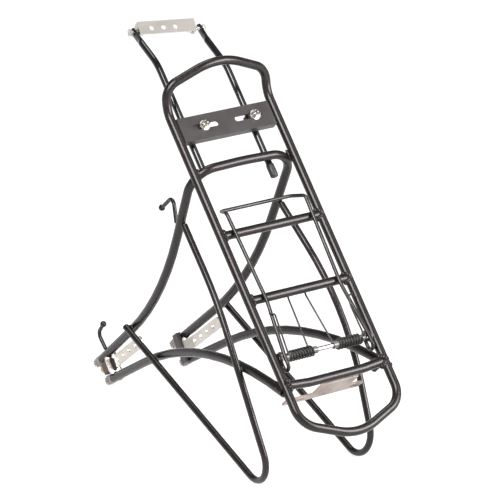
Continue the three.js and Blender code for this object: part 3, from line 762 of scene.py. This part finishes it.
def build_clip():
    axle = turned_part(Shape(), (-AXLE_HALF, AXLE_Y, AXLE_Z), (1, 0, 0), [
        (AXLE_R - 0.4, 0), (AXLE_R, 0.4), (AXLE_R, 2 * AXLE_HALF - 0.4), (AXLE_R - 0.4, 2 * AXLE_HALF),
    ])
    make("axle_bar", axle, axle_steel, "rack", ("clip_axle",))
    for side, sign in SIDES:
        lug = Shape()
        washer(lug, (sign * LUG_X, AXLE_Y, AXLE_Z), (sign, 0, 0), LUG_R, LUG_BORE, LUG_THICK, LUG_EDGE)
        make(f"{side}_lug_ring", lug, dark_steel, "rack", (f"{side}_axle_lug",))
        sleeve_end = (sign * SLEEVE_X, AXLE_Y, AXLE_Z)
        sleeve = turned_part(Shape(), sleeve_end, (sign, 0, 0), SLEEVE_PROFILE, loop=True)
        make(f"{side}_sleeve_tube", sleeve, sleeve_grey, "rack", (f"{side}_sleeve",))
        coil = tube(Shape(), coil_line(sign), SPRING_WIRE_R, SPRING_SIDES, edge=0.2)
        make(f"{side}_spring_wire", coil, spring_steel, "rack", (f"{side}_spring",))
        arm_line = centreline(on_side(sign, SPRING_ARM))
        arm = tube(Shape(), arm_line, SPRING_WIRE_R, SPRING_SIDES, edge=0.2)
        make(f"{side}_spring_arm_wire", arm, spring_steel, "clip", (f"{side}_spring_arm",))
    bail_line = resampled(centreline(both_sides(BAIL)), BAIL_STEP)
    bail = tube(Shape(), bail_line, WIRE_R, BAIL_SIDES, edge=0.4)
    make("bail_wire", bail, spring_steel, "clip", ("bail",))


# ---------------------------------------------------------------- stays and bracket

EYE_R, EYE_THICK, EYE_NECK, EYE_TAPER = 5.2, 3.0, 12.5, 7.0
EYE_STATIONS, EYE_GAP = (0.3, 0.55, 0.75, 0.9, 0.97), 0.8
NEAR_EYE, FAR_FROM_EYE = 40, 99.0
BOLT_FLATS, BOLT_HEAD, BOLT_R = 3.9, 3.2, 2.4
NUT_HEIGHT, NUT_BORE = 4, 2.7
NUT_INSET = {"left": 0, "right": 4.5}
CLAMP_WASHER_R, CLAMP_WASHER_BORE = 6.1, 2.9
CLAMP_FLATS, CLAMP_BORE, CLAMP_BOLT_R = 3.98, 2.8, 2.7


def build_stay(side, data):
    """A round rod whose front end is pressed flat. It has no hole: the bracket's bolt cuts through it."""
    corners = data["line"]
    line = resampled(centreline(corners), STAY_STEP)
    tip, heading = line[-1]
    line = [(p, h) for p, h in line[:-1] if np.linalg.norm(p - tip) > EYE_GAP] + [(tip, heading)]
    line += [(tip + heading * EYE_R * t, heading) for t in EYE_STATIONS]
    radii = []
    for point, _ in line:
        ahead = (point - tip) @ heading
        back = -ahead if np.linalg.norm(point - tip) < NEAR_EYE else FAR_FROM_EYE
        flat = min(1.0, max(0.0, (EYE_NECK + EYE_TAPER - back) / EYE_TAPER))
        flat = flat * flat * (3 - 2 * flat)
        tall = ROD_R + (EYE_R - ROD_R) * flat
        if ahead > 0:
            tall = math.sqrt(max(0.01, EYE_R ** 2 - ahead ** 2))
        thin = ROD_R + (EYE_THICK / 2 - ROD_R) * flat
        radii.append((thin, tall))
    shape = tube(Shape(), line, radii, TUBE_SIDES, edge=0, up=UP)
    make(f"{side}_stay_rod", shape, gloss_black, "stays", (f"{side}_stay",))

    x, y = corners[0][:2]
    length = data["cap"]
    cap = turned_part(Shape(), (x, y - 2 - GAP, STAY_Z), (0, 1, 0), [
        (0.6, 0), (3.2, 0.05), (4.1, 0.5), (4.5, 1.4), (4.5, length - 0.3), (4.3, length),
        (ROD_R + GAP, length), (ROD_R + GAP, 2), (0.6, 2),
    ], loop=True)
    make(f"{side}_cap", cap, vinyl, "stays", (f"{side}_stay_cap",))


def bracket_frame():
    """The middle, the two directions and the length of the line between the stays' tips."""
    tips = [np.array(STAYS[side]["line"][-1][:3], float) for side in ("left", "right")]
    across = unit(tips[1] - tips[0])
    up = unit(UP - across * across[2])
    length = np.linalg.norm(tips[1] - tips[0])
    return (tips[0] + tips[1]) / 2, across, up, length


def build_bracket_bolts():
    middle, across, up, length = bracket_frame()
    end = length / 2 - EYE_THICK / 2 - 6 * GAP
    face = length / 2 + EYE_THICK / 2 + 4 * GAP
    for side, sign in SIDES:
        direction = across * sign
        bolt = Shape()
        hex_head(bolt, middle + direction * face, direction, BOLT_FLATS, BOLT_HEAD, hint=up)
        nut_face = end - NUT_INSET[side] - 2 - 2 * GAP
        reach = face + 0.5 - (nut_face - 6)
        threaded(bolt, middle + direction * (face + 0.5), -direction, BOLT_R, reach)
        make(f"{side}_bracket_screw", bolt, bright, "bracket", (f"{side}_bracket_bolt",))
        nut = Shape()
        nut_spot = middle + direction * nut_face
        hex_nut(nut, nut_spot, -direction, BOLT_FLATS, NUT_HEIGHT, NUT_BORE, hint=up)
        make(f"{side}_bracket_hex_nut", nut, bright, "bracket", (f"{side}_bracket_nut",))


def build_clamp_tops():
    for side, data in STAYS.items():
        spot = np.array((data["clamp_x"], CLAMP_Y, 0.0))
        up = (0, 0, 1)
        base = PLATE_TOP + GAP
        disc = washer(Shape(), spot + (0, 0, base), up, CLAMP_WASHER_R, CLAMP_WASHER_BORE, 1.0)
        make(f"{side}_clamp_washer_disc", disc, bright, "rack", (f"{side}_clamp_washer",))
        nut_spot = spot + (0, 0, base + 1 + GAP)
        nut = hex_nut(Shape(), nut_spot, up, CLAMP_FLATS, NUT_HEIGHT, CLAMP_BORE, hint=(0, 1, 0))
        make(f"{side}_clamp_hex_nut", nut, bright, "rack", (f"{side}_clamp_nut",))
        end = threaded(Shape(), spot + (0, 0, base - 1.5), up, CLAMP_BOLT_R, CLAMP_TOP - base + 1.2)
        make(f"{side}_clamp_thread", end, warm_zinc, "rack")


# ---------------------------------------------------------------- feet

FOOT_BOLT_FLATS, FOOT_BOLT_HEAD, FOOT_BOLT_R, FOOT_BOLT_LENGTH = 3.95, 4.4, 2.4, 17


def foot_matrix():
    return Matrix.Translation((0, FOOT_Y, FOOT_Z)) @ Matrix.Rotation(FOOT_LEAN, 4, "X")


def build_feet():
    for side, sign in SIDES:
        refinish(f"{side}_foot_bar", nickel, 0.3)
        refinish(f"{side}_foot_saddle", dark_steel, 0.5)
        bolt = Shape()
        head_spot = (sign * FOOT_X, 1.5, -20)
        hex_head(bolt, head_spot, (0, 0, -1), FOOT_BOLT_FLATS, FOOT_BOLT_HEAD, hint=(0, 1, 0))
        threaded(bolt, (sign * FOOT_X, 1.5, -20.5), (0, 0, 1), FOOT_BOLT_R, FOOT_BOLT_LENGTH)
        make(f"{side}_foot_screw", bolt, brass_zinc, f"{side}_foot", (f"{side}_foot_bolt",),
             foot_matrix())


# ---------------------------------------------------------------- assembly

build_loop()
build_legs()
build_leg_ends()
build_cross_tubes()
build_welds()
build_pegs()
build_clip()
for stay_side, stay_data in STAYS.items():
    build_stay(stay_side, stay_data)
build_bracket_bolts()
build_clamp_tops()
build_feet()
refinish("front_plate", dark_steel, 0.5)
refinish("mounting_bracket", nickel, 0.5)
refinish("reflector_bracket", warm_nickel, 0.3)
for stay_side in STAYS:
    refinish(f"{stay_side}_stay_clamp", dark_steel, 0.3)

# ---------------------------------------------------------------- floor, light and camera

FLOOR_REACH, FLOOR_Z = 6.0, -0.0006
FLOOR_GREY, FLOOR_GLOW, FLOOR_ROUGHNESS, FLOOR_SPECULAR = 0.38, 0.72, 0.9, 0.1

# Name, place and target in metres, side in metres and power in watts.
LIGHTS = [
    ("overhead", (0.2, 0.9, 2.4), (0, 0, 0), 1.1, 18),
    ("left", (-1.15, -0.9, 1.95), (0, 0, 0.2), 1.2, 76),
    ("right", (1.15, -1.75, 1.0), (0, 0, 0.2), 1.2, 76),
    ("top_right", (1.25, -0.95, 1.95), (0, 0, 0.3), 1.3, 7),
]


def build_floor():
    corners = ((-1, -1), (1, -1), (1, 1), (-1, 1))
    points = [(x * FLOOR_REACH, y * FLOOR_REACH, FLOOR_Z) for x, y in corners]
    mesh = bpy.data.meshes.new("floor")
    mesh.from_pydata(points, [], [(0, 1, 2, 3)])
    material = bpy.data.materials.new("floor_white")
    material.use_nodes = True
    shader = material.node_tree.nodes["Principled BSDF"]
    shader.inputs["Base Color"].default_value = (FLOOR_GREY, FLOOR_GREY, FLOOR_GREY, 1)
    shader.inputs["Emission Color"].default_value = (1, 1, 1, 1)
    shader.inputs["Emission Strength"].default_value = FLOOR_GLOW
    shader.inputs["Roughness"].default_value = FLOOR_ROUGHNESS
    shader.inputs["Specular IOR Level"].default_value = FLOOR_SPECULAR
    mesh.materials.append(material)
    floor = bpy.data.objects.new("floor", mesh)
    bpy.context.scene.collection.objects.link(floor)


def add_area(name, location, target, side, power):
    light = bpy.data.lights.new(name, "AREA")
    light.shape = "RECTANGLE"
    light.size = light.size_y = side
    light.energy = power
    lamp = bpy.data.objects.new(name, light)
    lamp.location = location
    lamp.rotation_mode = "QUATERNION"
    lamp.rotation_quaternion = (Vector(target) - Vector(location)).to_track_quat("-Z", "Y")
    bpy.context.scene.collection.objects.link(lamp)


HORIZON_TOP, SKY_FROM = 0.15, 0.4
HORIZON_GLOW, SKY_GLOW = 0.78, 0.12


def build_world():
    """A plain backdrop: pale at the horizon, and darker overhead so that the tubes stay black."""
    world = bpy.data.worlds.new("studio")
    world.use_nodes = True
    tree = world.node_tree
    background = tree.nodes["Background"]
    background.inputs["Color"].default_value = (1, 1, 1, 1)
    coords = tree.nodes.new("ShaderNodeTexCoord").outputs["Generated"]
    parts = tree.nodes.new("ShaderNodeSeparateXYZ")
    tree.links.new(coords, parts.inputs["Vector"])
    height = remap(tree, parts.outputs["Z"], HORIZON_TOP, SKY_FROM, HORIZON_GLOW, SKY_GLOW)
    tree.links.new(height, background.inputs["Strength"])
    bpy.context.scene.world = world
    bpy.context.scene.view_settings.view_transform = "Standard"


CAMERA_AT = (-1.9664, -3.0361, 1.5300)
CAMERA_RIGHT = (0.8358, -0.54892, -0.00915)
CAMERA_UP = (0.1950, 0.28118, 0.93962)
CAMERA_FOCAL = 7.08  # in widths of the picture
SENSOR_WIDTH = 36
CAMERA_SHIFT = (-0.001, 0.001)


def build_camera():
    data = bpy.data.cameras.new("camera")
    data.sensor_width = SENSOR_WIDTH
    data.lens = CAMERA_FOCAL * data.sensor_width
    data.clip_start, data.clip_end = 0.1, 50
    data.shift_x, data.shift_y = CAMERA_SHIFT
    camera = bpy.data.objects.new("camera", data)
    right, up = Vector(CAMERA_RIGHT).normalized(), Vector(CAMERA_UP)
    back = right.cross(up).normalized()
    up = back.cross(right)
    basis = Matrix((right, up, back)).transposed().to_4x4()
    camera.matrix_world = Matrix.Translation(CAMERA_AT) @ basis
    bpy.context.scene.collection.objects.link(camera)
    bpy.context.scene.camera = camera


build_floor()
build_world()
for area in LIGHTS:
    add_area(*area)
build_camera()
